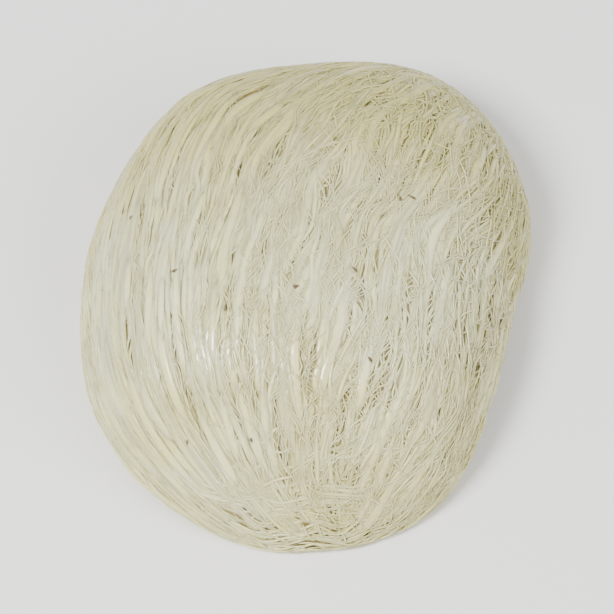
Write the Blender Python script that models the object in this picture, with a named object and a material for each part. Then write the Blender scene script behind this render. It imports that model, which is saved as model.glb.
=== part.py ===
"""An edible swiftlet's nest: one half cup of dried strands, lying on its rim, hollow side down.

Metres, +Z up. The origin is on the surface that the nest rests on, below the middle of its bounds.
The cup hung on a wall by two feet, one at the near end and one at the far right. Its strands run
from foot to foot: along the free rim on the left, over the crown, and along the wall edge on the right.
"""

import math

import bmesh
import bpy
import numpy as np

# Driving dimensions
WIDTH = 0.0575
LENGTH = 0.0690
HEIGHT = 0.0268
RIM_WALL = 0.0042
FOOT_WALL = 0.0080
CROWN_WALL = 0.0052

# How far the cup's edge stands from the crown's axis, as a share of half the length, every 30 degrees from +X
RIM_SHARES = (0.800, 0.990, 1.120, 1.005, 0.975, 0.862, 0.822, 0.870, 0.955, 1.000, 0.960, 0.820)

# The two feet and the places where the edge stands off the surface, in degrees round the crown from +X
NEAR_FOOT = -84.0
FAR_FOOT = 50.0
FOOT_SPREAD = 34.0
WALL_ARCH = (-18.0, 50.0, 0.0050)
NEAR_GAP = (-128.0, 34.0, 0.0012)
FAR_GAP = (102.0, 44.0, 0.0016)

# How square the dome's section is: 1 is a plain ellipse
SIDE_POWER = 0.84
TOP_POWER = 0.94

# The rounding on both sides of the flat that the edge rests on
EDGE_ROUND = 0.0009

# Strand ridges over the outside, and coarser ones in the hollow
OUTER_LINES = 96
INNER_LINES = 24
STEPS = 34
OUTER_RIDGE = 0.00030
INNER_RIDGE = 0.00030

# The thicker band along the free rim, as a share of the way over the cup, and its height
BAND_SHARE = 0.085
BAND_HEIGHT = 0.00050

# Broad unevenness, and soft hollows as a direction from the crown's foot, a size and a depth
LUMP = 0.00045
DENTS = (((0.50, 0.10, 0.80), 0.30, 0.0006), ((-0.35, -0.72, 0.50), 0.26, 0.0009))

# The dried strands' colour and sheen
CREAM = (0.64, 0.60, 0.46, 1.0)
ROUGHNESS = 0.42


def clear_scene():
    """Remove whatever the file held before."""
    for old in list(bpy.data.objects):
        bpy.data.objects.remove(old)


def rim_radius(angle):
    """Distance from the crown's axis to the cup's edge, on a closed Catmull-Rom curve through the shares."""
    shares = np.array(RIM_SHARES)
    place = np.mod(angle / math.tau, 1.0) * len(shares)
    first = np.floor(place).astype(int)
    part = place - first
    before, here, after, beyond = (shares[(first + step) % len(shares)] for step in (-1, 0, 1, 2))
    share = 0.5 * (
        2 * here
        + (after - before) * part
        + (2 * before - 5 * here + 4 * after - beyond) * part**2
        + (3 * here - before - 3 * after + beyond) * part**3
    )
    return share * LENGTH / 2


def hill(angle, middle, spread):
    """A smooth hill of height 1 round the edge. middle and spread, half its width, are in degrees."""
    away = np.abs(np.mod(np.degrees(angle) - middle + 180, 360) - 180)
    return np.where(away < spread, 0.5 + 0.5 * np.cos(math.pi * away / spread), 0.0)


def edge_wall(angle):
    """The wall's thickness at the edge: thin along the rim and thick at the two feet."""
    feet = hill(angle, NEAR_FOOT, FOOT_SPREAD) + hill(angle, FAR_FOOT, FOOT_SPREAD)
    return RIM_WALL + (FOOT_WALL - RIM_WALL) * np.minimum(feet, 1.0)


def edge_lift(angle):
    """How far the edge stands off the surface: an arch on the wall side and two low gaps elsewhere."""
    return sum(
        height * hill(angle, middle, spread) for middle, spread, height in (WALL_ARCH, NEAR_GAP, FAR_GAP)
    )


def strand_direction(along, across):
    """Directions on a half ball, as rows of unit vectors, on the arcs that join the two feet.

    along runs from the near foot (0) to the far one (1). across picks the arc: 0 is the free rim,
    1 the wall edge. Each arc is where the ball meets a plane that holds both feet.
    """
    feet = np.radians([NEAR_FOOT, FAR_FOOT])
    near, far = np.stack([np.cos(feet), np.sin(feet), 0 * feet], axis=1)
    middle = (near + far) / 2
    half_span = np.linalg.norm(far - near) / 2
    offset = np.linalg.norm(middle)
    chord = (far - near) / (2 * half_span)
    wallward = middle / offset
    over = math.pi * across
    tilt = np.arctan2(np.sin(over), offset + np.cos(over))
    rise = np.sin(tilt)[:, None] * np.array([0.0, 0.0, 1.0]) - np.cos(tilt)[:, None] * wallward
    centre = middle + (offset * np.cos(tilt))[:, None] * rise
    radius = np.sqrt(1 - (offset * np.sin(tilt)) ** 2)
    reach = np.arctan2(half_span, -offset * np.cos(tilt))
    turn = reach * (2 * along - 1)
    return centre + radius[:, None] * (np.sin(turn)[:, None] * chord + np.cos(turn)[:, None] * rise)


def dome_point(directions, inset):
    """Points of the cup's skin in these directions, or of its hollow when inset is 1."""
    x, y, z = directions.T
    z = np.maximum(z, 0.0)
    angle = np.arctan2(y, x)
    flat = np.hypot(x, y)
    reach = (rim_radius(angle) - inset * edge_wall(angle)) * flat**SIDE_POWER
    height = (HEIGHT - inset * CROWN_WALL) * z**TOP_POWER
    lift = edge_lift(angle) * flat**2 * (1 - z) ** 2 + EDGE_ROUND * (1 - z) ** 4
    return np.stack([reach * np.cos(angle), reach * np.sin(angle), height + lift], axis=1)


def outward(directions):
    """Roughly the skin's normals in these directions."""
    slopes = directions / np.array([WIDTH / 2, LENGTH / 2, HEIGHT])
    return slopes / np.linalg.norm(slopes, axis=1, keepdims=True)


def ridge_height(line, along):
    """Strand ridges, high and low by turns, that swell and fade along the strands and end at the feet."""
    swell = 0.62 + 0.38 * np.sin(9.0 * along + 2.4 * line + 1.3 * np.sin(0.7 * line))
    side = np.where(line % 2, 1.0, -1.0)
    return side * swell * np.sin(math.pi * along) ** 0.6


def rim_band(line, along):
    """The thicker band along the free rim."""
    across = line / OUTER_LINES
    return BAND_HEIGHT * np.maximum(0.0, 1 - (across / BAND_SHARE) ** 4) * np.sin(math.pi * along) ** 0.6


def unevenness(directions):
    """The cup's broad lumps and soft hollows, which fade out at its edge."""
    x, y, z = directions.T
    lumps = (
        np.sin(4.3 * x + 2.1 * y + 0.6)
        + 0.8 * np.sin(5.2 * y - 3.4 * x + 2.2)
        + 0.6 * np.sin(7.5 * z + 3.0 * x - 2.0 * y)
    )
    height = LUMP * lumps / 2.4
    for place, size, depth in DENTS:
        away = np.linalg.norm(directions - np.array(place), axis=1)
        height -= depth * np.exp(-((away / size) ** 2))
    return height * np.clip(3 * z, 0, 1)


def skin_points(line, lines, inset):
    """One strand's points between the feet, on the outside (inset 0) or in the hollow (inset 1)."""
    along = np.arange(1, STEPS) / STEPS
    edge = line in (0, lines)
    wander = 0.0 if edge else 0.35 * np.sin(5.1 * along + 1.7 * line) * np.sin(math.pi * along)
    directions = strand_direction(along, (line + wander) / lines + 0 * along)
    ridge = (OUTER_RIDGE, INNER_RIDGE)[inset]
    height = ridge * ridge_height(line, along) + unevenness(directions)
    if not inset:
        height += rim_band(line, along)
    push = outward(directions)
    if edge:
        push[:, 2] = 0.0
    return dome_point(directions, inset) + push * height[:, None]


def add_skin(bm, lines, inset):
    """Add the outside or the hollow as a patch whose strands meet at the feet. Return its edge loop."""
    feet = dome_point(strand_direction(np.array([0.0, 1.0]), np.array([0.5, 0.5])), inset)
    near, far = (bm.verts.new(foot) for foot in feet)
    rows = []
    for line in range(lines + 1):
        middle = [bm.verts.new(point) for point in skin_points(line, lines, inset)]
        rows.append([near, *middle, far])
    for low, high in zip(rows, rows[1:]):
        for step in range(STEPS):
            corners = [low[step], low[step + 1], high[step + 1], high[step]]
            corners = list(dict.fromkeys(corners))
            if not inset:
                corners.reverse()
            bm.faces.new(corners)
    return rows[0] + rows[-1][-2:0:-1]


def add_foot_ring(bm, loop, sideways):
    """Add a ring at the foot of an edge loop, moved out from the crown's axis by this much."""
    ring = []
    for vert in loop:
        angle = math.atan2(vert.co.y, vert.co.x)
        x = vert.co.x + sideways * math.cos(angle)
        y = vert.co.y + sideways * math.sin(angle)
        ring.append(bm.verts.new((x, y, edge_lift(angle))))
    return ring


def bridge(bm, first, second):
    """Join two rings of the same count with quads."""
    count = len(first)
    for index in range(count):
        after = (index + 1) % count
        bm.faces.new([first[index], first[after], second[after], second[index]])


def build_nest():
    """The whole nest as one closed mesh: outside, hollow, and the edge between them."""
    bm = bmesh.new()
    outer = add_skin(bm, OUTER_LINES, 0)
    inner = add_skin(bm, INNER_LINES, 1)
    outer_foot = add_foot_ring(bm, outer, -EDGE_ROUND)
    inner_foot = add_foot_ring(bm, inner, EDGE_ROUND)
    bridge(bm, outer, outer_foot)
    bridge(bm, outer_foot, inner_foot)
    bridge(bm, inner_foot, inner)
    return bm


def centre_on_origin(bm):
    """Put the middle of the bounds over the origin, and the lowest point on the surface."""
    places = np.array([vert.co for vert in bm.verts])
    low, high = places.min(axis=0), places.max(axis=0)
    middle = (low + high) / 2
    bmesh.ops.translate(bm, verts=bm.verts, vec=(-middle[0], -middle[1], -low[2]))


def strand_material():
    """Dried strands: pale cream with a low gloss."""
    material = bpy.data.materials.new("dried_strands")
    material.use_nodes = True
    shader = material.node_tree.nodes["Principled BSDF"]
    shader.inputs["Base Color"].default_value = CREAM
    shader.inputs["Roughness"].default_value = ROUGHNESS
    shader.inputs["Metallic"].default_value = 0.0
    return material


def main():
    clear_scene()
    bm = build_nest()
    centre_on_origin(bm)
    mesh = bpy.data.meshes.new("nest")
    bm.to_mesh(mesh)
    bm.free()
    mesh.materials.append(strand_material())
    mesh.shade_smooth()
    mesh.set_sharp_from_angle(angle=math.radians(50))
    nest = bpy.data.objects.new("nest", mesh)
    bpy.context.scene.collection.objects.link(nest)


main()
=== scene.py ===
"""The looks of a dried swiftlet's nest: a cup of fine cream strands, hollow side down in a plain studio.

Laid out as a Blender add-on and run as a script. Metres, +Z up, in the packed part's frame.
The wall and every strand lie on the same cup shape: a half ball whose strand lines run from the near foot
to the far one. A place on it is given by along, 0 at the near foot and 1 at the far one, and across, 0 at
the free rim and 1 at the wall edge.
"""

import math

import bmesh
import bpy
import numpy as np
from bpy.props import FloatProperty, FloatVectorProperty, IntProperty, PointerProperty
from mathutils import Matrix, Vector


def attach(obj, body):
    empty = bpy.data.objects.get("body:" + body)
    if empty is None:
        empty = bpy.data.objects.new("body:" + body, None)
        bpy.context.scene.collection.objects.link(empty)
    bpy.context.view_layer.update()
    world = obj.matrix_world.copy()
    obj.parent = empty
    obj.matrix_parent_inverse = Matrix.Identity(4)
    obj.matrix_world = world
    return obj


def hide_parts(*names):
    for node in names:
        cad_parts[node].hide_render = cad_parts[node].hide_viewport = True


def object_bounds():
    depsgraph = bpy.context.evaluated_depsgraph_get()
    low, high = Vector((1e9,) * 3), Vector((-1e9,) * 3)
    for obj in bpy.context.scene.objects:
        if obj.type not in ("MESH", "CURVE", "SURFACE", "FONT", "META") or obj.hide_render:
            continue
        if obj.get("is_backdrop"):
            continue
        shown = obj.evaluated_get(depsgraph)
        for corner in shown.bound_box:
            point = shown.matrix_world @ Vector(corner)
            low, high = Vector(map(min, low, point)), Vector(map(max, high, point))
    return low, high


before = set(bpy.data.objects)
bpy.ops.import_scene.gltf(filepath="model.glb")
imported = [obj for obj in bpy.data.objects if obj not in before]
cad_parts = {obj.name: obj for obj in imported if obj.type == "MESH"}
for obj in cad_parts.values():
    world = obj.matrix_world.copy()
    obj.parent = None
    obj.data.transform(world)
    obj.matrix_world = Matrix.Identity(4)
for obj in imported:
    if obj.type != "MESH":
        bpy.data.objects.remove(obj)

bl_info = {
    "name": "Edible bird's nest",
    "version": (1, 0, 0),
    "blender": (4, 5, 0),
    "location": "3D View > Sidebar > Nest",
    "description": "Builds a dried swiftlet's nest from a wall and layers of strands",
    "category": "Add Mesh",
}

CAD_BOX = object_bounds()

# The cup, as the part has it. Angles are degrees round the crown from +X
CUP_WIDTH = 0.0575
CUP_LENGTH = 0.0690
CUP_HEIGHT = 0.0268
RIM_WALL = 0.0042
FOOT_WALL = 0.0080
CROWN_WALL = 0.0052
RIM_SHARES = (0.800, 0.990, 1.120, 1.005, 0.975, 0.862, 0.822, 0.870, 0.955, 1.000, 0.960, 0.820)
NEAR_FOOT = -84.0
FAR_FOOT = 50.0
FOOT_SPREAD = 34.0
WALL_ARCH = (-18.0, 50.0, 0.0050)
NEAR_GAP = (-128.0, 34.0, 0.0012)
FAR_GAP = (102.0, 44.0, 0.0016)
SIDE_POWER = 0.84
TOP_POWER = 0.94
EDGE_ROUND = 0.0009
BAND_SHARE = 0.085
BAND_HEIGHT = 0.00050
LUMP = 0.00045
DENTS = (((0.50, 0.10, 0.80), 0.30, 0.0006), ((-0.35, -0.72, 0.50), 0.26, 0.0009))
OUTSIDE = 0
INSIDE = 1

# What strand lines join: the two feet, or for each foot's pad the places this far to both sides of the foot
PAD_SPAN = 78
FEET = (NEAR_FOOT, FAR_FOOT)
NEAR_PAD = (NEAR_FOOT - PAD_SPAN, NEAR_FOOT + PAD_SPAN)
FAR_PAD = (FAR_FOOT - PAD_SPAN, FAR_FOOT + PAD_SPAN)

# How long the first and the last strand line are, and how far apart: on the skin, the pads and the edge
SKIN_RUNS = (0.122, 0.075, 0.080)
PAD_RUNS = (0.110, 0.085, 0.085)
EDGE_RUNS = (0.262, 0.226, 0.006)

# The fused wall: its rows of points outside and inside, its relief, and how far it lies inside the cup
WALL_LINES = (210, 150)
WALL_STEPS = 200
WALL_SEEDS = (5, 25)
WALL_RELIEF = 0.00022
WALL_INSET = 0.00030
EDGE_RINGS = 10
EDGE_INSET = 0.00035

# The beds that strands are laid on: rows on the skin, points on each half of the edge, and rows under it
BED_LINES = 150
LOOP_POINTS = 200
EDGE_LINES = 10

# Degrees from a foot: where the skin's strands are thinnest and full, and where each pad is full and ends
FOOT_THINNING = (3, 16)
NEAR_PAD_FADE = (14, 48)
FAR_PAD_FADE = (14, 44)

# How much the skin's strands thin at the feet, and where the arcs end and the floss starts, as across
THINNEST = 0.75
ARC_END = 0.46
ARC_FADE = 0.16
FLOSS_START = 0.30
FLOSS_FADE = 0.25

# Brown specks: four that show from the front, as along and across, and more by chance in this field
SPECKS = ((0.563, 0.597), (0.575, 0.612), (0.407, 0.347), (0.377, 0.437))
SPECK_FIELD = ((0.15, 0.1), (0.85, 0.9))
MORE_SPECKS = 9
SPECK_SEED = 3
SPECK_LIFT = 0.00030

# A speck's size, and its range of lengths, its range of widths and its thickness as shares of that
SPECK_SIZE = 0.00115
SPECK_LENGTHS = (0.5, 1.1)
SPECK_WIDTHS = (0.22, 0.4)
SPECK_THICKNESS = 0.16

# The stage
FLOOR_HALF = 3.0
FLOOR_COLOUR = (0.80, 0.80, 0.79)
FLOOR_ROUGHNESS = 0.6
SKY_COLOUR = (0.99, 1.0, 1.0)
SKY_STRENGTH = 0.75
LIGHTS = (("key", (-0.28, -0.24, 0.55), 0.20, 7.5), ("fill", (0.45, -0.25, 0.45), 0.40, 3.4))
CAMERA_LENS = 280
CAMERA_SENSOR = 36
CAMERA_NEAR = 0.01
CAMERA_ELEVATION = 58.6
CAMERA_DISTANCE = 0.62
CAMERA_TARGET = (0.0, -0.0031, 0.0081)


# The cup's shape


def rim_radius(angle):
    """Distance from the crown's axis to the cup's edge, on a closed Catmull-Rom curve through the shares."""
    shares = np.array(RIM_SHARES)
    place = np.mod(angle / math.tau, 1.0) * len(shares)
    first = np.floor(place).astype(int)
    part = place - first
    before, here, after, beyond = (shares[(first + step) % len(shares)] for step in (-1, 0, 1, 2))
    share = 0.5 * (
        2 * here
        + (after - before) * part
        + (2 * before - 5 * here + 4 * after - beyond) * part**2
        + (3 * here - before - 3 * after + beyond) * part**3
    )
    return share * CUP_LENGTH / 2


def hill(angle, middle, spread):
    """A smooth hill of height 1 round the edge. middle and spread, half its width, are in degrees."""
    away = np.abs(np.mod(np.degrees(angle) - middle + 180, 360) - 180)
    return np.where(away < spread, 0.5 + 0.5 * np.cos(math.pi * away / spread), 0.0)


def edge_wall(angle):
    """The wall's thickness at the edge: thin along the rim and thick at the two feet."""
    feet = hill(angle, NEAR_FOOT, FOOT_SPREAD) + hill(angle, FAR_FOOT, FOOT_SPREAD)
    return RIM_WALL + (FOOT_WALL - RIM_WALL) * np.minimum(feet, 1.0)


def edge_lift(angle):
    """How far the edge stands off the surface: an arch on the wall side and two low gaps elsewhere."""
    return sum(
        height * hill(angle, middle, spread) for middle, spread, height in (WALL_ARCH, NEAR_GAP, FAR_GAP)
    )


def strand_direction(along, across, feet):
    """Directions on a half ball, in rows, on the arcs that join two feet, given in degrees."""
    feet = np.radians(feet)
    near, far = np.stack([np.cos(feet), np.sin(feet), 0 * feet], axis=1)
    middle = (near + far) / 2
    half_span = np.linalg.norm(far - near) / 2
    offset = np.linalg.norm(middle)
    chord = (far - near) / (2 * half_span)
    wallward = middle / offset
    over = math.pi * across
    tilt = np.arctan2(np.sin(over), offset + np.cos(over))
    up = np.array([0.0, 0.0, 1.0])
    rise = np.sin(tilt)[..., None] * up - np.cos(tilt)[..., None] * wallward
    centre = middle + (offset * np.cos(tilt))[..., None] * rise
    radius = np.sqrt(1 - (offset * np.sin(tilt)) ** 2)
    reach = np.arctan2(half_span, -offset * np.cos(tilt))
    turn = reach * (2 * along - 1)
    return centre + radius[..., None] * (np.sin(turn)[..., None] * chord + np.cos(turn)[..., None] * rise)


def unevenness(directions):
    """The cup's broad lumps and soft hollows, which fade out at its edge."""
    x, y, z = np.moveaxis(directions, -1, 0)
    lumps = (
        np.sin(4.3 * x + 2.1 * y + 0.6)
        + 0.8 * np.sin(5.2 * y - 3.4 * x + 2.2)
        + 0.6 * np.sin(7.5 * z + 3.0 * x - 2.0 * y)
    )
    height = LUMP * lumps / 2.4
    for place, size, depth in DENTS:
        away = np.linalg.norm(directions - np.array(place), axis=-1)
        height -= depth * np.exp(-((away / size) ** 2))
    return height * np.clip(3 * z, 0, 1)


def rim_band(along, across):
    """The thicker band along the free rim."""
    return BAND_HEIGHT * np.clip(1 - (across / BAND_SHARE) ** 4, 0, 1) * np.sin(math.pi * along) ** 0.6


def cup_points(along, across, side, feet=FEET):
    """Points of the cup's skin, or of its hollow, and roughly their normals."""
    directions = strand_direction(along, across, feet)
    x, y, z = np.moveaxis(directions, -1, 0)
    z = np.maximum(z, 0.0)
    angle = np.arctan2(y, x)
    flat = np.hypot(x, y)
    reach = (rim_radius(angle) - side * edge_wall(angle)) * flat**SIDE_POWER
    height = (CUP_HEIGHT - side * CROWN_WALL) * z**TOP_POWER
    lift = edge_lift(angle) * flat**2 * (1 - z) ** 2 + EDGE_ROUND * (1 - z) ** 4
    points = np.stack([reach * np.cos(angle), reach * np.sin(angle), height + lift], axis=-1)
    normals = directions / np.array([CUP_WIDTH / 2, CUP_LENGTH / 2, CUP_HEIGHT])
    normals[..., 2] *= np.clip(12 * z, 0, 1)
    normals /= np.linalg.norm(normals, axis=-1, keepdims=True)
    push = unevenness(directions)
    if side == OUTSIDE and feet == FEET:
        push = push + rim_band(along, across)
    return points + push[..., None] * normals, normals


def grid_places(lines, steps):
    """along and across at the points of a grid."""
    return np.meshgrid(np.linspace(0, 1, steps + 1), np.linspace(0, 1, lines + 1))


def centre_shift():
    """What puts the middle of the cup's bounds over the origin."""
    points, _ = cup_points(*grid_places(120, 120), OUTSIDE)
    low, high = points.reshape(-1, 3).min(axis=0), points.reshape(-1, 3).max(axis=0)
    return np.array([-(low[0] + high[0]) / 2, -(low[1] + high[1]) / 2, 0.0])


SHIFT = centre_shift()


# Meshes


def add_object(name, mesh):
    """A new object of a mesh, in the scene."""
    made = bpy.data.objects.new(name, mesh)
    bpy.context.scene.collection.objects.link(made)
    return made


def mesh_object(name, points, faces):
    """A new smooth object from arrays of points and faces."""
    mesh = bpy.data.meshes.new(name)
    mesh.from_pydata(points.tolist(), [], faces.tolist())
    mesh.shade_smooth()
    return add_object(name, mesh)


def grid_faces(lines, steps, turned):
    """Quads of a grid of points in rows of steps + 1, facing the other way when turned."""
    row, column = np.meshgrid(np.arange(lines), np.arange(steps), indexing="ij")
    corner = row * (steps + 1) + column
    faces = np.stack([corner, corner + 1, corner + steps + 2, corner + steps + 1], axis=-1).reshape(-1, 4)
    return faces[:, ::-1] if turned else faces


def soft_noise(u, v, seed):
    """Smooth noise from -1 to 1 with one feature for each unit of u and of v."""
    cells = 256
    lattice = np.random.default_rng(seed).uniform(-1, 1, (cells, cells))
    column, row = np.floor(u).astype(int), np.floor(v).astype(int)
    s, t = u - column, v - row
    s, t = s * s * (3 - 2 * s), t * t * (3 - 2 * t)
    corner = [lattice[(column + i) % cells, (row + j) % cells] for i in (0, 1) for j in (0, 1)]
    return (corner[0] * (1 - t) + corner[1] * t) * (1 - s) + (corner[2] * (1 - t) + corner[3] * t) * s


def fibrous_relief(along, across, seed):
    """Relief of fused strands, from -1 to 1: long along the strands and fine across them."""
    bent = across + 0.018 * soft_noise(5 * along, 6 * across, seed)
    coarse = soft_noise(9 * along, 46 * bent, seed + 1)
    fine = soft_noise(16 * along, 90 * bent, seed + 2)
    ridges = 1 - 2 * np.abs(coarse)
    return 0.5 * ridges + 0.3 * fine + 0.2 * soft_noise(30 * along, 30 * across, seed + 3)


def wall_skin(side):
    """A grid of points on the wall's outside or in its hollow. Its relief fades at the feet and the edge."""
    along, across = grid_places(WALL_LINES[side], WALL_STEPS)
    points, normals = cup_points(along, across, side)
    ends = np.sin(math.pi * along) ** 0.5
    outward = 1 - 2 * side
    relief = WALL_RELIEF * fibrous_relief(along, across, WALL_SEEDS[side]) * ends - WALL_INSET
    inner_rows = np.minimum(1, 40 * np.minimum(across, 1 - across))
    return points + (outward * relief * inner_rows)[..., None] * normals


def wall_rings(outer, inner):
    """Rings of points under the wall's edge, from its outer loop of points to its inner one."""
    for ring in range(1, EDGE_RINGS + 1):
        share = ring / (EDGE_RINGS + 1)
        points = outer + (inner - outer) * share
        lift = edge_lift(np.arctan2(points[:, 1], points[:, 0]))
        drop = (EDGE_ROUND - EDGE_INSET) * (1 - abs(2 * share - 1) ** 4)
        points[:, 2] = EDGE_ROUND + lift - drop
        yield points


def wall_mesh():
    """The fused wall: skin, hollow and the edge between them, as one closed mesh's points and faces."""
    parts, faces, loops, count = [], [], [], 0
    for side in (OUTSIDE, INSIDE):
        grid = wall_skin(side)
        numbers = count + np.arange(grid[..., 0].size).reshape(grid.shape[:2])
        faces.append(grid_faces(WALL_LINES[side], WALL_STEPS, side == OUTSIDE) + count)
        loops.append(np.concatenate([numbers[0], numbers[-1][::-1]]))
        parts.append(grid.reshape(-1, 3))
        count += numbers.size
    every = np.concatenate(parts)
    rings = [loops[OUTSIDE]]
    for points in wall_rings(every[loops[OUTSIDE]], every[loops[INSIDE]]):
        parts.append(points)
        rings.append(count + np.arange(len(points)))
        count += len(points)
    rings.append(loops[INSIDE])
    for ring, after in zip(rings, rings[1:]):
        faces.append(np.stack([ring, np.roll(ring, -1), np.roll(after, -1), after], axis=1))
    return np.concatenate(parts) + SHIFT, np.concatenate(faces)


def add_flake(bm, along, across, rng):
    """Add one bent flake that lies on the skin."""
    point, normal = cup_points(np.array(along), np.array(across), OUTSIDE)
    size = np.array([rng.uniform(*SPECK_LENGTHS), rng.uniform(*SPECK_WIDTHS), SPECK_THICKNESS]) * SPECK_SIZE
    turn = Vector(normal).to_track_quat("Z", "Y").to_matrix() @ Matrix.Rotation(rng.uniform(0, 3.1), 3, "Z")
    middle = Vector(point + SHIFT + SPECK_LIFT * normal)
    for vert in bmesh.ops.create_icosphere(bm, subdivisions=2, radius=0.5)["verts"]:
        bend = 1 + 0.25 * math.sin(9 * vert.co.x + 5 * along) + 0.2 * math.sin(11 * vert.co.y)
        local = Vector(np.array(vert.co) * size * bend)
        vert.co = turn @ local + middle


# How densely strands cover the cup


def near_to(directions, foot, fade):
    """1 within the first of two distances from a foot, in degrees, fading to 0 at the second."""
    full, none = fade
    place = np.array([math.cos(math.radians(foot)), math.sin(math.radians(foot)), 0.0])
    away = np.degrees(np.arccos(np.clip(directions @ place, -1, 1)))
    share = np.clip((none - away) / (none - full), 0, 1)
    return share * share * (3 - 2 * share)


def skin_cover(along, across, directions):
    """All over the cup, but thinner where the strand lines meet."""
    near, far = (near_to(directions, foot, FOOT_THINNING) for foot in FEET)
    return 1 - THINNEST * np.maximum(near, far)


def rim_cover(along, across, directions):
    """The side of the free rim, away from the feet."""
    clear_of_feet = np.clip(np.sin(math.pi * along) * 2.2 - 0.5, 0, 1)
    return np.clip((ARC_END - across) / ARC_FADE, 0, 1) * clear_of_feet


def floss_cover(along, across, directions):
    """Everywhere but near the free rim."""
    return np.clip((across - FLOSS_START) / FLOSS_FADE, 0, 1) * skin_cover(along, across, directions)


def near_cover(along, across, directions):
    """The pad of the near foot."""
    return near_to(directions, NEAR_FOOT, NEAR_PAD_FADE)


def far_cover(along, across, directions):
    """The pad of the far foot."""
    return near_to(directions, FAR_FOOT, FAR_PAD_FADE)


def bed_object(name, points, faces, along, across, cover):
    """A bed for strands, which stores its points' places and how densely each is covered, from 0 to 1."""
    bed = mesh_object(name, points.reshape(-1, 3) + SHIFT, faces)
    places = np.stack([along.ravel(), across.ravel(), 0 * along.ravel()], axis=-1)
    bed.data.attributes.new("place", "FLOAT_VECTOR", "POINT").data.foreach_set("vector", places.ravel())
    bed.data.attributes.new("cover", "FLOAT", "POINT").data.foreach_set("value", np.ravel(cover))
    return bed


def strand_bed(side, feet, cover):
    """The bare skin or hollow that strands are laid on."""
    along, across = grid_places(BED_LINES, BED_LINES)
    points, _ = cup_points(along, across, side, feet)
    faces = grid_faces(BED_LINES, BED_LINES, side == OUTSIDE)
    share = cover(along, across, strand_direction(along, across, feet))
    return bed_object("strand_bed", points, faces, along, across, share)


def edge_loop(side):
    """The cup's edge, on its outside or inside, all the way round and a third of the way again."""
    along = np.linspace(0, 1, LOOP_POINTS)
    rim, _ = cup_points(along, 0 * along, side)
    wall, _ = cup_points(along[::-1], 0 * along + 1, side)
    loop = np.concatenate([rim, wall[1:]])
    return np.concatenate([loop, loop[1 : len(loop) // 3]])


def edge_bed():
    """The underside of the cup's edge. It overlaps itself, so that no bare seam shows."""
    outer, inner = edge_loop(OUTSIDE), edge_loop(INSIDE)
    steps = len(outer) - 1
    around, share = grid_places(EDGE_LINES, steps)
    points = outer + (inner - outer) * share[..., None]
    points[..., 2] -= EDGE_ROUND * (1 - np.abs(2 * share - 1) ** 4)
    faces = grid_faces(EDGE_LINES, steps, False)
    return bed_object("edge_bed", points, faces, around, share, np.ones(around.shape))


# Node trees


def feed(tree, socket, value):
    """Link a socket from another one, or set its value."""
    if isinstance(value, bpy.types.NodeSocket):
        tree.links.new(value, socket)
    elif value is not None:
        socket.default_value = value


def add_node(tree, kind, *values, **options):
    """Add a node with these options and feed its shown inputs in order. None leaves an input as it is."""
    node = tree.nodes.new(kind)
    for name, value in options.items():
        setattr(node, name, value)
    shown = [socket for socket in node.inputs if socket.enabled]
    for socket, value in zip(shown, values):
        feed(tree, socket, value)
    return node


def result(tree, kind, *values, **options):
    """The first shown output of a new node."""
    return next(socket for socket in add_node(tree, kind, *values, **options).outputs if socket.enabled)


def calc(tree, operation, *values):
    """A Math node's result."""
    return result(tree, "ShaderNodeMath", *values, operation=operation)


def total(tree, first, *others):
    """The sum of some values."""
    for other in others:
        first = calc(tree, "ADD", first, other)
    return first


def product(tree, first, *others):
    """Some values multiplied together."""
    for other in others:
        first = calc(tree, "MULTIPLY", first, other)
    return first


def vector_calc(tree, operation, *values):
    """A Vector Math node's result."""
    return result(tree, "ShaderNodeVectorMath", *values, operation=operation)


def combine(tree, *parts):
    """A vector of these parts."""
    return result(tree, "ShaderNodeCombineXYZ", *parts)


def split(tree, vector):
    """A vector's parts, as X, Y and Z."""
    return add_node(tree, "ShaderNodeSeparateXYZ", vector).outputs


def map_range(tree, value, taken, given):
    """A value carried from one range to another and held within it."""
    return result(tree, "ShaderNodeMapRange", value, *taken, *given)


def fade(tree, value, reach):
    """1 where the value is 0, falling away over this reach."""
    return calc(tree, "EXPONENT", calc(tree, "DIVIDE", value, -reach))


def named_value(tree, name, data_type="FLOAT"):
    """A named attribute's value."""
    return result(tree, "GeometryNodeInputNamedAttribute", name, data_type=data_type)


def store(tree, geometry, name, value, data_type="FLOAT"):
    """Store a named attribute on the points."""
    kind = "GeometryNodeStoreNamedAttribute"
    return result(tree, kind, geometry, True, name, value, data_type=data_type, domain="POINT")


# A strand layer's sizes: key, kind, label, description and limits. Each is an input of the tree, by its label
METRES = {"unit": "LENGTH"}
SIZE_FIELDS = (
    ("per_cm2", "Float", "Strands per cm2", "How many strands start on each square centimetre", {"min": 0.0}),
    ("seed", "Int", "Seed", "Picks another arrangement", {}),
    ("points", "Int", "Points", "Points along each strand", {"min": 3}),
    ("sides", "Int", "Sides", "Sides of each strand", {"min": 3}),
    ("length", "Float", "Length", "A strand's mean length", METRES),
    ("width", "Float", "Width", "A strand's mean width", METRES),
    (
        "flatness", "Float", "Flatness", "Thickness as a share of width",
        {"subtype": "FACTOR", "min": 0.1, "max": 1.0},
    ),
    ("lift", "Float", "Lift", "Height over the cup's skin", METRES),
    ("lift_spread", "Float", "Lift spread", "How much the lift varies", METRES),
    ("dip", "Float", "Dip", "How far the ends dip under", METRES),
    ("slant", "Float", "Slant", "How far strands may slant off the strand lines", {}),
    ("wander", "Float", "Wander", "How far strands wave sideways", METRES),
    (
        "lobes", "Float", "Lobes", "Depth of the grooves along a bundle",
        {"subtype": "FACTOR", "min": 0.0, "max": 0.9},
    ),
    ("fan", "Float", "Fan", "How far the strands fan out at the feet", {}),
    ("gaps", "Float", "Gaps", "How wide the strands part", METRES),
    ("flow", "Float", "Flow", "How far whole locks of strands bend together", {}),
)
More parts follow.
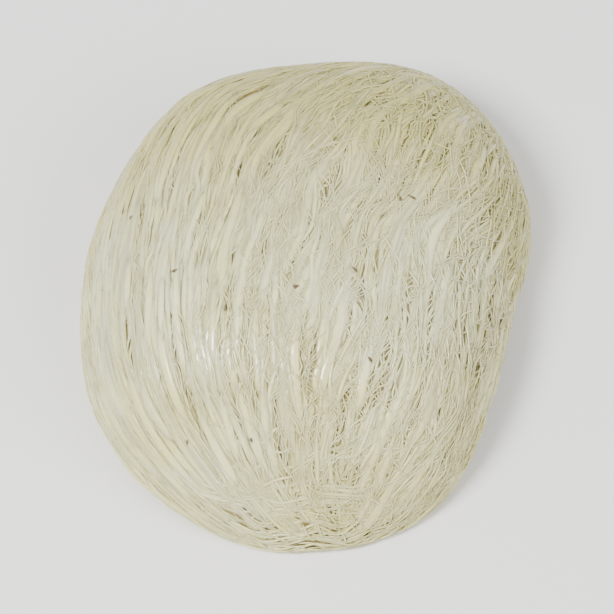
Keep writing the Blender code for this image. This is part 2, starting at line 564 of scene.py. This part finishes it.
USUAL_SIZES = {"lobes": 0.0, "fan": 0.8, "gaps": 0.0, "flow": 0.05}
RUN_INPUTS = ("First run", "Last run", "Across run")
CM2_IN_M2 = 1e4

# What is random in a strand, and its range. A draw's seed is the layer's plus its place in this list, from 1
DRAWS = {
    "length": (0.5, 1.4),
    "slant": (-1.0, 1.0),
    "slow rate": (3.0, 8.0),
    "slow start": (0.0, 6.3),
    "quick rate": (10.0, 22.0),
    "quick start": (0.0, 6.3),
    "width": (0.55, 1.35),
    "lift": (-1.0, 1.0),
    "tone": (0.0, 1.0),
    "stop": (0.03, 0.14),
}

# Strands slant little near the free rim and freely near the wall edge, and more still within reach of a foot
SLANT_ACROSS = (0.15, 0.75)
SLANT_SHARES = (0.35, 1.35)
FOOT_SLANT = 3.0
FOOT_REACH = 0.07

# How near a foot strands fan out, and the height of their quick wave as a share of the slow one
FAN_REACH = 0.06
QUICK_WAVE = 0.14

# Locks that bend together: cells along and across, and the noise's scale, detail, roughness and lacunarity
LOCK_CELLS = (4.0, 5.0)
LOCK_NOISE = (5.0, 1.0, 2.0, 0.5)

# Lens-shaped gaps: cells along and across, a gap's reach and its middle's softness as shares of its cell, and
# the random numbers that give gaps from none to the widest
GAP_CELLS = (9.0, 26.0)
GAP_REACH = 0.30
GAP_SOFTNESS = 0.04
GAP_CHANCES = (0.35, 1.0)

# Gaps narrow from the free rim's side to the wall edge's, and nearly close right at the rim
GAP_ACROSS = (0.12, 0.60)
GAP_SHARES = (1.5, 0.8)
RIM_GAP_ACROSS = (0.02, 0.16)
RIM_GAP_SHARES = (0.3, 1.0)

# How much strands thin towards their ends, and how close to the cup's edge they come
END_POWER = 3.0
END_TAPER = 0.85
LEAST_ACROSS = 0.003


def chance(tree, given, name):
    """A random number for each strand, by the name of its draw."""
    offset = list(DRAWS).index(name) + 1
    seed = result(tree, "FunctionNodeIntegerMath", given["Seed"], offset, operation="ADD")
    strand = named_value(tree, "strand", "INT")
    return result(tree, "FunctionNodeRandomValue", *DRAWS[name], strand, seed, data_type="FLOAT")


def scatter_strands(tree, given):
    """Each strand's points, all where it starts, with its number as strand and -0.5 to 0.5 as run."""
    density = product(tree, given["Strands per cm2"], CM2_IN_M2, named_value(tree, "cover"))
    kind = "GeometryNodeDistributePointsOnFaces"
    starts = result(tree, kind, given["Geometry"], True, density, given["Seed"], distribute_method="RANDOM")
    starts = store(tree, starts, "strand", result(tree, "GeometryNodeInputIndex"), "INT")
    copies = add_node(tree, "GeometryNodeDuplicateElements", starts, True, given["Points"], domain="POINT")
    last = calc(tree, "SUBTRACT", given["Points"], 1.0)
    run = calc(tree, "SUBTRACT", calc(tree, "DIVIDE", copies.outputs["Duplicate Index"], last), 0.5)
    return store(tree, copies.outputs["Geometry"], "run", run)


def foot_distance(tree, along):
    """How far a place is from the nearer foot, as a share of the way."""
    return calc(tree, "MINIMUM", along, calc(tree, "SUBTRACT", 1.0, along))


def wave_shift(tree, given):
    """How far a strand waves sideways: a slow wave with a small quick one on it."""
    waves = []
    for pace in ("slow", "quick"):
        rate, start = chance(tree, given, pace + " rate"), chance(tree, given, pace + " start")
        waves.append(calc(tree, "SINE", calc(tree, "MULTIPLY_ADD", named_value(tree, "run"), rate, start)))
    slow, quick = waves
    wave = calc(tree, "MULTIPLY_ADD", quick, QUICK_WAVE, slow)
    return product(tree, calc(tree, "DIVIDE", given["Wander"], given["Across run"]), wave)


def lock_shift(tree, given, along, across):
    """How far whole locks of strands bend sideways together."""
    cells = (calc(tree, "MULTIPLY", value, count) for value, count in zip((along, across), LOCK_CELLS))
    noise = result(tree, "ShaderNodeTexNoise", combine(tree, *cells), *LOCK_NOISE)
    return product(tree, calc(tree, "SUBTRACT", noise, 0.5), given["Flow"])


def gap_shift(tree, given, along, across):
    """How far strands are pushed sideways round lens-shaped gaps, one in each cell."""
    cells = (calc(tree, "MULTIPLY", value, count) for value, count in zip((along, across), GAP_CELLS))
    where = combine(tree, *cells)
    pattern = add_node(tree, "ShaderNodeTexVoronoi", where, voronoi_dimensions="2D")
    feed(tree, pattern.inputs["Scale"], 1.0)
    away = split(tree, vector_calc(tree, "SUBTRACT", where, pattern.outputs["Position"]))
    softened = calc(tree, "ADD", calc(tree, "ABSOLUTE", away["Y"]), GAP_SOFTNESS)
    side = calc(tree, "DIVIDE", away["Y"], softened)
    squares = (calc(tree, "POWER", calc(tree, "DIVIDE", away[axis], GAP_REACH), 2.0) for axis in "XY")
    opening = product(tree, side, fade(tree, total(tree, *squares), 1.0))
    size = map_range(tree, split(tree, pattern.outputs["Color"])["X"], GAP_CHANCES, (0.0, 1.0))
    wider = product(
        tree,
        map_range(tree, across, GAP_ACROSS, GAP_SHARES),
        map_range(tree, across, RIM_GAP_ACROSS, RIM_GAP_SHARES),
    )
    size = product(tree, size, wider, calc(tree, "DIVIDE", given["Gaps"], given["Across run"]))
    return product(tree, opening, size)


def strand_places(tree, given):
    """Where each point of a strand is on the skin, as along and across."""
    start = split(tree, named_value(tree, "place", "FLOAT_VECTOR"))
    start_along, start_across = start["X"], start["Y"]
    length = product(tree, given["Length"], chance(tree, given, "length"))
    longer = calc(tree, "SUBTRACT", given["Last run"], given["First run"])
    line = calc(tree, "MULTIPLY_ADD", start_across, longer, given["First run"])
    step = product(tree, calc(tree, "DIVIDE", length, line), named_value(tree, "run"))
    stop = chance(tree, given, "stop")
    along = calc(tree, "MAXIMUM", calc(tree, "ADD", start_along, step), stop)
    along = calc(tree, "MINIMUM", along, calc(tree, "SUBTRACT", 1.0, stop))

    # Strands lie neatly along the free rim, and cross and fan out at the feet
    from_foot = foot_distance(tree, start_along)
    freely = map_range(tree, start_across, SLANT_ACROSS, SLANT_SHARES)
    freely = calc(tree, "MULTIPLY_ADD", fade(tree, from_foot, FOOT_REACH), FOOT_SLANT, freely)
    slant = product(tree, given["Slant"], chance(tree, given, "slant"), step, freely)
    closer = fade(tree, foot_distance(tree, along), FAN_REACH)
    spread = calc(tree, "SUBTRACT", closer, fade(tree, from_foot, FAN_REACH))
    fan = product(tree, spread, given["Fan"], calc(tree, "SUBTRACT", start_across, 0.5))
    wave = wave_shift(tree, given)
    across = total(tree, wave, lock_shift(tree, given, along, start_across), slant, start_across, fan)
    across = calc(tree, "ADD", across, gap_shift(tree, given, along, across))
    across = calc(tree, "MINIMUM", calc(tree, "MAXIMUM", across, LEAST_ACROSS), 1 - LEAST_ACROSS)
    return combine(tree, along, across)


def lay_points(tree, given, points, target):
    """Move the points over the skin, and store what their tubes and their colours need.

    Ends dip into the layers below, and nothing goes under the surface that the nest rests on.
    """
    place = named_value(tree, "place", "FLOAT_VECTOR")
    normal, spot = (
        result(
            tree,
            "GeometryNodeSampleUVSurface",
            given["Geometry"],
            result(tree, kind),
            place,
            target,
            data_type="FLOAT_VECTOR",
        )
        for kind in ("GeometryNodeInputNormal", "GeometryNodeInputPosition")
    )
    width = product(tree, given["Width"], chance(tree, given, "width"))
    ends = calc(tree, "ABSOLUTE", calc(tree, "MULTIPLY", named_value(tree, "run"), 2.0))
    ends = calc(tree, "POWER", ends, END_POWER)
    lift = calc(tree, "MULTIPLY_ADD", chance(tree, given, "lift"), given["Lift spread"], given["Lift"])
    lift = calc(tree, "SUBTRACT", lift, product(tree, ends, given["Dip"]))
    spot = split(tree, vector_calc(tree, "ADD", spot, vector_calc(tree, "SCALE", normal, lift)))
    height = calc(tree, "MAXIMUM", spot["Z"], calc(tree, "MULTIPLY", width, 0.5))
    taper = calc(tree, "SUBTRACT", 1.0, calc(tree, "MULTIPLY", ends, END_TAPER))
    points = store(tree, points, "skin_normal", normal, "FLOAT_VECTOR")
    points = store(tree, points, "girth", product(tree, width, calc(tree, "MULTIPLY", taper, 0.5)))
    points = store(tree, points, "tone", chance(tree, given, "tone"))
    points = store(tree, points, "height", lift)
    spot = combine(tree, spot["X"], spot["Y"], height)
    return result(tree, "GeometryNodeSetPosition", points, True, spot)


def strand_tubes(tree, given, points):
    """A flattened tube along each strand, grooved by its lobes, as plain mesh."""
    strand, run = named_value(tree, "strand", "INT"), named_value(tree, "run")
    curves = result(tree, "GeometryNodePointsToCurves", points, strand, run)
    normal = named_value(tree, "skin_normal", "FLOAT_VECTOR")
    curves = result(tree, "GeometryNodeSetCurveNormal", curves, True, normal, mode="FREE")
    curves = result(tree, "GeometryNodeSetCurveRadius", curves, True, 1.0)
    ring = result(tree, "GeometryNodeCurvePrimitiveCircle", given["Sides"], 1.0, mode="RADIUS")
    odd = calc(tree, "MODULO", result(tree, "GeometryNodeInputIndex"), 2.0)
    dent = calc(tree, "SUBTRACT", 1.0, calc(tree, "MULTIPLY", odd, given["Lobes"]))
    dented = vector_calc(tree, "SCALE", result(tree, "GeometryNodeInputPosition"), dent)
    ring = result(tree, "GeometryNodeSetPosition", ring, True, dented)
    squash = combine(tree, given["Flatness"], 1.0, 1.0)
    ring = result(tree, "GeometryNodeTransform", ring, None, None, squash)
    tubes = result(tree, "GeometryNodeCurveToMesh", curves, ring, named_value(tree, "girth"), True)
    tubes = result(tree, "GeometryNodeSetShadeSmooth", tubes, True, True)
    tubes = result(tree, "GeometryNodeRealizeInstances", tubes)
    return result(tree, "GeometryNodeSetMaterial", tubes, True, given["Material"])


def strand_tree():
    """The Geometry Nodes tree that covers a bed with strands."""
    tree = bpy.data.node_groups.new("Strand layer", "GeometryNodeTree")
    sockets = [("Geometry", "Geometry")]
    sockets += [(label, kind) for _, kind, label, _, _ in SIZE_FIELDS]
    sockets += [(label, "Float") for label in RUN_INPUTS]
    sockets += [("Material", "Material")]
    for label, kind in sockets:
        tree.interface.new_socket(label, in_out="INPUT", socket_type="NodeSocket" + kind)
    tree.interface.new_socket("Geometry", in_out="OUTPUT", socket_type="NodeSocketGeometry")
    given = tree.nodes.new("NodeGroupInput").outputs
    points = scatter_strands(tree, given)
    points = lay_points(tree, given, points, strand_places(tree, given))
    feed(tree, tree.nodes.new("NodeGroupOutput").inputs[0], strand_tubes(tree, given, points))
    return tree


# Materials

# Where the colour is deeper, in metres, and by how much: painted shade at the far end and on the wall side,
# where the cup turns from the light, and a deeper colour towards the foot of the cup and the near end
PAINTED_SHADE_AND_DEEPER = (
    ("Y", (-0.002, 0.022), 1.0),
    ("X", (0.012, 0.030), 0.28),
    ("Z", (0.012, 0.0), 0.25),
    ("Y", (-0.010, -0.032), 0.32),
)

# Noises over the nest: scale, detail and roughness, and what each adds to the depth of tint
PATCH_NOISE = (70.0, 3.0, 0.55)
MOTTLE_NOISE = (420.0, 2.0, 0.5)
GRAIN_NOISE = (1400.0, 3.0, 0.6)
PATCH_VALUES = (0.36, 0.66)
PATCH_DEPTHS = (-0.08, 0.42)
MOTTLE_DEPTH = 0.40
MOTTLE_START = -0.25

# How deep a strand's tone makes it, the heights below the skin over which painted shade deepens a strand that
# lies low, and how rough and how glossy it is
TONE_DEPTH = 0.36
SUNK_SHADE_HEIGHTS = (0.0, -0.0006)
GRAIN_VALUES = (0.35, 0.65)
ROUGHNESS_RANGE = (0.20, 0.48)
GLOSSY_TONES = (0.50, 1.0)

# The relief's parts, and what the shader is given
MOTTLE_RELIEF = 0.7
GRAIN_RELIEF = 0.3
BUMP_STRENGTH = 0.35
BUMP_HEIGHT = 0.00012
COAT_ROUGHNESS = 0.12
GLOW_RADIUS = (1.0, 0.88, 0.68)
GLOW_SCALE = 0.0014


def tint_and_shade_group():
    """The node group that every nest material shares: its depth of tint, roughness, relief and gloss."""
    group = bpy.data.node_groups.new("Nest tint and shade", "ShaderNodeTree")
    group.interface.new_socket("Tone", in_out="INPUT", socket_type="NodeSocketFloat")
    for name in ("Depth", "Roughness", "Relief", "Gloss"):
        group.interface.new_socket(name, in_out="OUTPUT", socket_type="NodeSocketFloat")
    tone = group.nodes.new("NodeGroupInput").outputs["Tone"]
    where = add_node(group, "ShaderNodeTexCoord").outputs["Object"]
    patches, mottle, grain = (
        add_node(group, "ShaderNodeTexNoise", where, *noise).outputs["Fac"]
        for noise in (PATCH_NOISE, MOTTLE_NOISE, GRAIN_NOISE)
    )
    patches = map_range(group, patches, PATCH_VALUES, PATCH_DEPTHS)
    depth = calc(group, "MULTIPLY_ADD", tone, TONE_DEPTH, patches)
    depth = total(group, depth, calc(group, "MULTIPLY_ADD", mottle, MOTTLE_DEPTH, MOTTLE_START))
    parts = split(group, where)
    # Painted shade at the far end and the wall side; the colour also deepens towards the bottom and the near
    # end
    for axis, taken, share in PAINTED_SHADE_AND_DEEPER:
        depth = total(group, depth, map_range(group, parts[axis], taken, (0.0, share)))
    rough = map_range(group, grain, GRAIN_VALUES, ROUGHNESS_RANGE)
    relief = total(group, product(group, mottle, MOTTLE_RELIEF), product(group, grain, GRAIN_RELIEF))
    gloss = map_range(group, tone, GLOSSY_TONES, (0.0, 1.0))
    out = group.nodes.new("NodeGroupOutput")
    for socket, value in zip(out.inputs, (depth, rough, relief, gloss)):
        feed(group, socket, value)
    return group


def attribute(tree, name):
    """A named attribute's value in a material."""
    return add_node(tree, "ShaderNodeAttribute", attribute_name=name).outputs["Fac"]


def shader_parts(name):
    """A new material, its tree and its Principled shader."""
    material = bpy.data.materials.new(name)
    material.use_nodes = True
    tree = material.node_tree
    return material, tree, tree.nodes["Principled BSDF"]


def nest_material(name, pale, deep, sunk_shade, clear):
    """A nest finish that runs from a pale to a deep colour, satin and a little see-through.

    Strands have a tone each and a height, and the wall and the specks have neither. sunk is how much deeper a
    strand looks where it is sunk, and clear is how see-through the finish is.
    """
    material, tree, shader = shader_parts(name)
    tint = tree.nodes.new("ShaderNodeGroup")
    tint.node_tree = bpy.data.node_groups.get("Nest tint and shade") or tint_and_shade_group()
    feed(tree, tint.inputs["Tone"], attribute(tree, "tone"))
    # Painted shade: strands that lie low, below the skin, are coloured deeper
    below = map_range(tree, attribute(tree, "height"), SUNK_SHADE_HEIGHTS, (0.0, sunk_shade))
    share = map_range(tree, total(tree, tint.outputs["Depth"], below), (0.0, 1.0), (0.0, 1.0))
    colour = result(tree, "ShaderNodeMix", share, (*pale, 1.0), (*deep, 1.0), data_type="RGBA")
    bump = add_node(tree, "ShaderNodeBump", BUMP_STRENGTH, BUMP_HEIGHT)
    feed(tree, bump.inputs["Height"], tint.outputs["Relief"])
    feed(tree, shader.inputs["Base Color"], colour)
    feed(tree, shader.inputs["Roughness"], tint.outputs["Roughness"])
    feed(tree, shader.inputs["Normal"], bump.outputs[0])
    feed(tree, shader.inputs["Coat Weight"], tint.outputs["Gloss"])
    shader.inputs["Coat Roughness"].default_value = COAT_ROUGHNESS
    shader.inputs["Subsurface Weight"].default_value = clear
    shader.inputs["Subsurface Radius"].default_value = GLOW_RADIUS
    shader.inputs["Subsurface Scale"].default_value = GLOW_SCALE
    return material


def strand_material(colours):
    """Dried strands: cream, each strand of its own tone."""
    return nest_material("nest_strands", colours.cream, colours.straw, 0.6, 0.5)


def wall_and_gap_shade_material(colours):
    """The fused wall under the strands: deeper and more amber."""
    return nest_material("nest_wall_and_gap_shade", colours.tan, colours.amber_and_shade, 0.0, 0.1)


def speck_material(colours):
    """Dry brown flakes."""
    return nest_material("nest_specks", colours.brown, colours.amber_and_shade, 0.0, 0.0)


def floor_material():
    """A plain pale floor."""
    material, _, shader = shader_parts("pale_floor")
    shader.inputs["Base Color"].default_value = (*FLOOR_COLOUR, 1.0)
    shader.inputs["Roughness"].default_value = FLOOR_ROUGHNESS
    return material


# Settings


def strand_sizes(name, about, **own):
    """A property group of one strand layer's sizes."""
    defaults = {**USUAL_SIZES, **own}
    makers = {"Float": FloatProperty, "Int": IntProperty}
    sizes = {
        key: makers[kind](name=label, description=description, default=defaults[key], **limits)
        for key, kind, label, description, limits in SIZE_FIELDS
    }
    return type(name, (bpy.types.PropertyGroup,), {"__doc__": about, "__annotations__": sizes})


NestBundleSizes = strand_sizes(
    "NestBundleSizes", "Wide fused bundles", per_cm2=13.0, seed=11, points=14, sides=8, length=0.020,
    width=0.0013, flatness=0.42, lift=-0.00012, lift_spread=0.00015, dip=0.0005, slant=0.08, wander=0.00025,
    lobes=0.16, flow=0.02, gaps=0.00045,
)
NestStrandSizes = strand_sizes(
    "NestStrandSizes", "Single strands", per_cm2=28.0, seed=23, points=12, sides=5, length=0.012,
    width=0.00052, flatness=0.6, lift=0.00002, lift_spread=0.00016, dip=0.0004, slant=0.22, wander=0.00022,
    flow=0.02, gaps=0.0010,
)
NestArcSizes = strand_sizes(
    "NestArcSizes", "Neat bundles along the free rim", per_cm2=9.0, seed=61, points=14, sides=8, length=0.018,
    width=0.0011, flatness=0.40, lift=0.00012, lift_spread=0.00010, dip=0.0006, slant=0.05, wander=0.00025,
    lobes=0.14, flow=0.015, gaps=0.0010,
)
NestNearPadSizes = strand_sizes(
    "NestNearPadSizes", "The near foot's pad", per_cm2=85.0, seed=71, points=12, sides=5, length=0.009,
    width=0.00036, flatness=0.65, lift=0.00006, lift_spread=0.00014, dip=0.0006, slant=0.32, wander=0.0004,
    flow=0.10, gaps=0.0003,
)
NestFarPadSizes = strand_sizes(
    "NestFarPadSizes", "The far foot's pad", per_cm2=70.0, seed=83, points=12, sides=5, length=0.010,
    width=0.00044, flatness=0.6, lift=0.00005, lift_spread=0.00014, dip=0.0006, slant=0.30, wander=0.0003,
    flow=0.06,
)
NestFibreSizes = strand_sizes(
    "NestFibreSizes", "Fine fibres on top", per_cm2=46.0, seed=37, points=10, sides=4, length=0.007,
    width=0.00022, flatness=0.8, lift=0.00018, lift_spread=0.00012, dip=0.0003, slant=0.55, wander=0.0003,
    flow=0.03, gaps=0.0009,
)
NestFlossSizes = strand_sizes(
    "NestFlossSizes", "Short stray fibres away from the rim", per_cm2=60.0, seed=97, points=7, sides=4,
    length=0.0042, width=0.00021, flatness=0.8, lift=0.00021, lift_spread=0.00008, dip=0.0003, slant=1.3,
    wander=0.0003, flow=0.03, gaps=0.0004,
)
NestWebSizes = strand_sizes(
    "NestWebSizes", "The loose web that lines the hollow", per_cm2=36.0, seed=41, points=12, sides=5,
    length=0.014, width=0.00050, flatness=0.6, lift=0.0, lift_spread=0.0003, dip=0.0003, slant=1.3,
    wander=0.0012, flow=0.10,
)
NestEdgeSizes = strand_sizes(
    "NestEdgeSizes", "Strands along the edge's underside", per_cm2=50.0, seed=53, points=12, sides=5,
    length=0.013, width=0.00055, flatness=0.6, lift=0.0001, lift_spread=0.0001, dip=0.0003, slant=1.6,
    wander=0.0004, fan=0.0,
)


class NestColours(bpy.types.PropertyGroup):
    """The nest's colours, linear."""

    cream: FloatVectorProperty(
        name="Cream", description="The palest strands", default=(0.82, 0.78, 0.425), subtype="COLOR"
    )
    straw: FloatVectorProperty(
        name="Straw", description="The yellower strands", default=(0.63, 0.56, 0.205), subtype="COLOR"
    )
    brown: FloatVectorProperty(
        name="Brown", description="The specks", default=(0.085, 0.055, 0.025), subtype="COLOR"
    )
    # The wall's two colours are partly the cement's own and partly painted shade for the gaps between
    # strands; the deeper one is also the specks' deep colour
    tan: FloatVectorProperty(
        name="Tan", description="The wall's paler places", default=(0.37, 0.31, 0.13), subtype="COLOR"
    )
    amber_and_shade: FloatVectorProperty(
        name="Amber", description="The wall's deeper places", default=(0.25, 0.19, 0.07), subtype="COLOR"
    )


class NestSettings(bpy.types.PropertyGroup):
    """Everything that a user would change."""

    bundles: PointerProperty(type=NestBundleSizes, name="Bundles", description=NestBundleSizes.__doc__)
    strands: PointerProperty(type=NestStrandSizes, name="Strands", description=NestStrandSizes.__doc__)
    arcs: PointerProperty(type=NestArcSizes, name="Arcs", description=NestArcSizes.__doc__)
    near_pad: PointerProperty(type=NestNearPadSizes, name="Near pad", description=NestNearPadSizes.__doc__)
    far_pad: PointerProperty(type=NestFarPadSizes, name="Far pad", description=NestFarPadSizes.__doc__)
    fibres: PointerProperty(type=NestFibreSizes, name="Fibres", description=NestFibreSizes.__doc__)
    floss: PointerProperty(type=NestFlossSizes, name="Floss", description=NestFlossSizes.__doc__)
    web: PointerProperty(type=NestWebSizes, name="Web", description=NestWebSizes.__doc__)
    edge: PointerProperty(type=NestEdgeSizes, name="Edge", description=NestEdgeSizes.__doc__)
    colours: PointerProperty(type=NestColours, name="Colours", description=NestColours.__doc__)


# Operators

# Each layer's name and settings, the side that it is on, what its strand lines join, and its cover
OUTSIDE_LAYERS = (
    ("bundles", "bundles", OUTSIDE, FEET, skin_cover),
    ("strands", "strands", OUTSIDE, FEET, skin_cover),
    ("arcs", "arcs", OUTSIDE, FEET, rim_cover),
    ("near_pad", "near_pad", OUTSIDE, NEAR_PAD, near_cover),
    ("far_pad", "far_pad", OUTSIDE, FAR_PAD, far_cover),
    ("fibres", "fibres", OUTSIDE, FEET, skin_cover),
    ("floss", "floss", OUTSIDE, FEET, floss_cover),
)
HOLLOW_LAYERS = (
    ("web", "web", INSIDE, FEET, skin_cover),
    ("near_web", "web", INSIDE, NEAR_PAD, near_cover),
    ("far_web", "web", INSIDE, FAR_PAD, far_cover),
)


def ride_nest(piece):
    """Tie a finished piece to the nest's body and its material slot."""
    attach(piece, "root")


def cover_bed(name, bed, sizes, runs):
    """Cover a bed with one layer of strands, keep it as a plain mesh, and remove the bed."""
    colours = bpy.context.scene.nest_settings.colours
    tree = bpy.data.node_groups.get("Strand layer") or strand_tree()
    values = {label: getattr(sizes, key) for key, _, label, _, _ in SIZE_FIELDS}
    values.update(zip(RUN_INPUTS, runs))
    values["Material"] = bpy.data.materials.get("nest_strands") or strand_material(colours)
    modifier = bed.modifiers.new("Strand layer", "NODES")
    modifier.node_group = tree
    for item in tree.interface.items_tree:
        if item.in_out == "INPUT" and item.name in values:
            modifier[item.identifier] = values[item.name]
    graph = bpy.context.evaluated_depsgraph_get()
    mesh = bpy.data.meshes.new_from_object(bed.evaluated_get(graph))
    bed.modifiers.remove(modifier)
    bpy.data.objects.remove(bed)
    mesh.name = name
    ride_nest(add_object(name, mesh))


def lay_layers(layers, nest):
    """Lay some layers of strands, with the nest's settings."""
    for name, sizes, side, feet, cover in layers:
        runs = SKIN_RUNS if feet == FEET else PAD_RUNS
        cover_bed(name, strand_bed(side, feet, cover), getattr(nest, sizes), runs)


class NEST_OT_wall(bpy.types.Operator):
    """Build the fused wall of the cup"""

    bl_idname = "nest.wall"
    bl_label = "Wall"

    def execute(self, context):
        wall = mesh_object("wall", *wall_mesh())
        bm = bmesh.new()
        bm.from_mesh(wall.data)
        bmesh.ops.remove_doubles(bm, verts=bm.verts, dist=1e-6)
        bm.to_mesh(wall.data)
        bm.free()
        wall.data.materials.append(wall_and_gap_shade_material(context.scene.nest_settings.colours))
        ride_nest(wall)
        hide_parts("nest")
        return {"FINISHED"}


class NEST_OT_strands(bpy.types.Operator):
    """Lay the strands on the outside"""

    bl_idname = "nest.strands"
    bl_label = "Strands"

    def execute(self, context):
        lay_layers(OUTSIDE_LAYERS, context.scene.nest_settings)
        return {"FINISHED"}


class NEST_OT_web(bpy.types.Operator):
    """Line the hollow with a loose web"""

    bl_idname = "nest.web"
    bl_label = "Web"

    def execute(self, context):
        lay_layers(HOLLOW_LAYERS, context.scene.nest_settings)
        return {"FINISHED"}


class NEST_OT_edge(bpy.types.Operator):
    """Lay strands along the underside of the edge"""

    bl_idname = "nest.edge"
    bl_label = "Edge"

    def execute(self, context):
        cover_bed("edge", edge_bed(), context.scene.nest_settings.edge, EDGE_RUNS)
        return {"FINISHED"}


class NEST_OT_specks(bpy.types.Operator):
    """Press a few brown specks into the skin"""

    bl_idname = "nest.specks"
    bl_label = "Specks"

    def execute(self, context):
        rng = np.random.default_rng(SPECK_SEED)
        places = [*SPECKS, *(rng.uniform(*SPECK_FIELD) for _ in range(MORE_SPECKS))]
        bm = bmesh.new()
        for along, across in places:
            add_flake(bm, along, across, rng)
        mesh = bpy.data.meshes.new("specks")
        bm.to_mesh(mesh)
        bm.free()
        mesh.shade_smooth()
        mesh.materials.append(speck_material(context.scene.nest_settings.colours))
        ride_nest(add_object("specks", mesh))
        return {"FINISHED"}


class NEST_OT_stage(bpy.types.Operator):
    """Add the floor, the lights and the camera"""

    bl_idname = "nest.stage"
    bl_label = "Stage"

    def execute(self, context):
        scene = context.scene
        corners = np.array([[-1, -1, 0], [1, -1, 0], [1, 1, 0], [-1, 1, 0]]) * FLOOR_HALF
        floor = mesh_object("floor", corners, np.array([[0, 1, 2, 3]]))
        floor.data.materials.append(floor_material())
        floor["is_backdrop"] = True
        scene.world = bpy.data.worlds.new("studio")
        scene.world.use_nodes = True
        sky = scene.world.node_tree.nodes["Background"]
        sky.inputs["Color"].default_value = (*SKY_COLOUR, 1.0)
        sky.inputs["Strength"].default_value = SKY_STRENGTH
        for name, place, size, power in LIGHTS:
            light = bpy.data.lights.new(name, "AREA")
            light.size = size
            light.energy = power
            lamp = add_object(name, light)
            lamp.location = place
            lamp.rotation_euler = (-Vector(place)).to_track_quat("-Z", "Y").to_euler()
        camera = bpy.data.cameras.new("camera")
        camera.lens = CAMERA_LENS
        camera.sensor_width = CAMERA_SENSOR
        camera.clip_start = CAMERA_NEAR
        elevation = math.radians(CAMERA_ELEVATION)
        away = Vector((0.0, -math.cos(elevation), math.sin(elevation)))
        seat = add_object("camera", camera)
        seat.location = Vector(CAMERA_TARGET) + CAMERA_DISTANCE * away
        seat.rotation_euler = (-away).to_track_quat("-Z", "Y").to_euler()
        scene.camera = seat
        return {"FINISHED"}


class NEST_PT_panel(bpy.types.Panel):
    """Lists the nest's steps and settings"""

    bl_idname = "NEST_PT_panel"
    bl_label = "Edible bird's nest"
    bl_space_type = "VIEW_3D"
    bl_region_type = "UI"
    bl_category = "Nest"

    def draw(self, context):
        for operator in OPERATORS:
            self.layout.operator(operator.bl_idname)
        nest = context.scene.nest_settings
        for name in NestSettings.__annotations__:
            box = self.layout.box()
            box.label(text=nest.bl_rna.properties[name].name)
            group = getattr(nest, name)
            for key in type(group).__annotations__:
                box.prop(group, key)


GROUPS = (
    NestBundleSizes,
    NestStrandSizes,
    NestArcSizes,
    NestNearPadSizes,
    NestFarPadSizes,
    NestFibreSizes,
    NestFlossSizes,
    NestWebSizes,
    NestEdgeSizes,
    NestColours,
    NestSettings,
)
OPERATORS = (NEST_OT_wall, NEST_OT_strands, NEST_OT_web, NEST_OT_edge, NEST_OT_specks, NEST_OT_stage)


def register():
    """Add the settings, the operators and the panel."""
    for kind in (*GROUPS, *OPERATORS, NEST_PT_panel):
        bpy.utils.register_class(kind)
    bpy.types.Scene.nest_settings = PointerProperty(type=NestSettings)


def unregister():
    """Take away what register adds."""
    del bpy.types.Scene.nest_settings
    for kind in reversed((*GROUPS, *OPERATORS, NEST_PT_panel)):
        bpy.utils.unregister_class(kind)


def main():
    """Build the nest and its stage, and note the sizes."""
    register()
    bpy.ops.nest.wall()
    bpy.ops.nest.strands()
    bpy.ops.nest.web()
    bpy.ops.nest.edge()
    bpy.ops.nest.specks()
    bpy.ops.nest.stage()
    boxes = {"cad": CAD_BOX, "visual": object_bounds()}
    plain = {name: [list(corner) for corner in box] for name, box in boxes.items()}


if __name__ == "__main__":
    main()
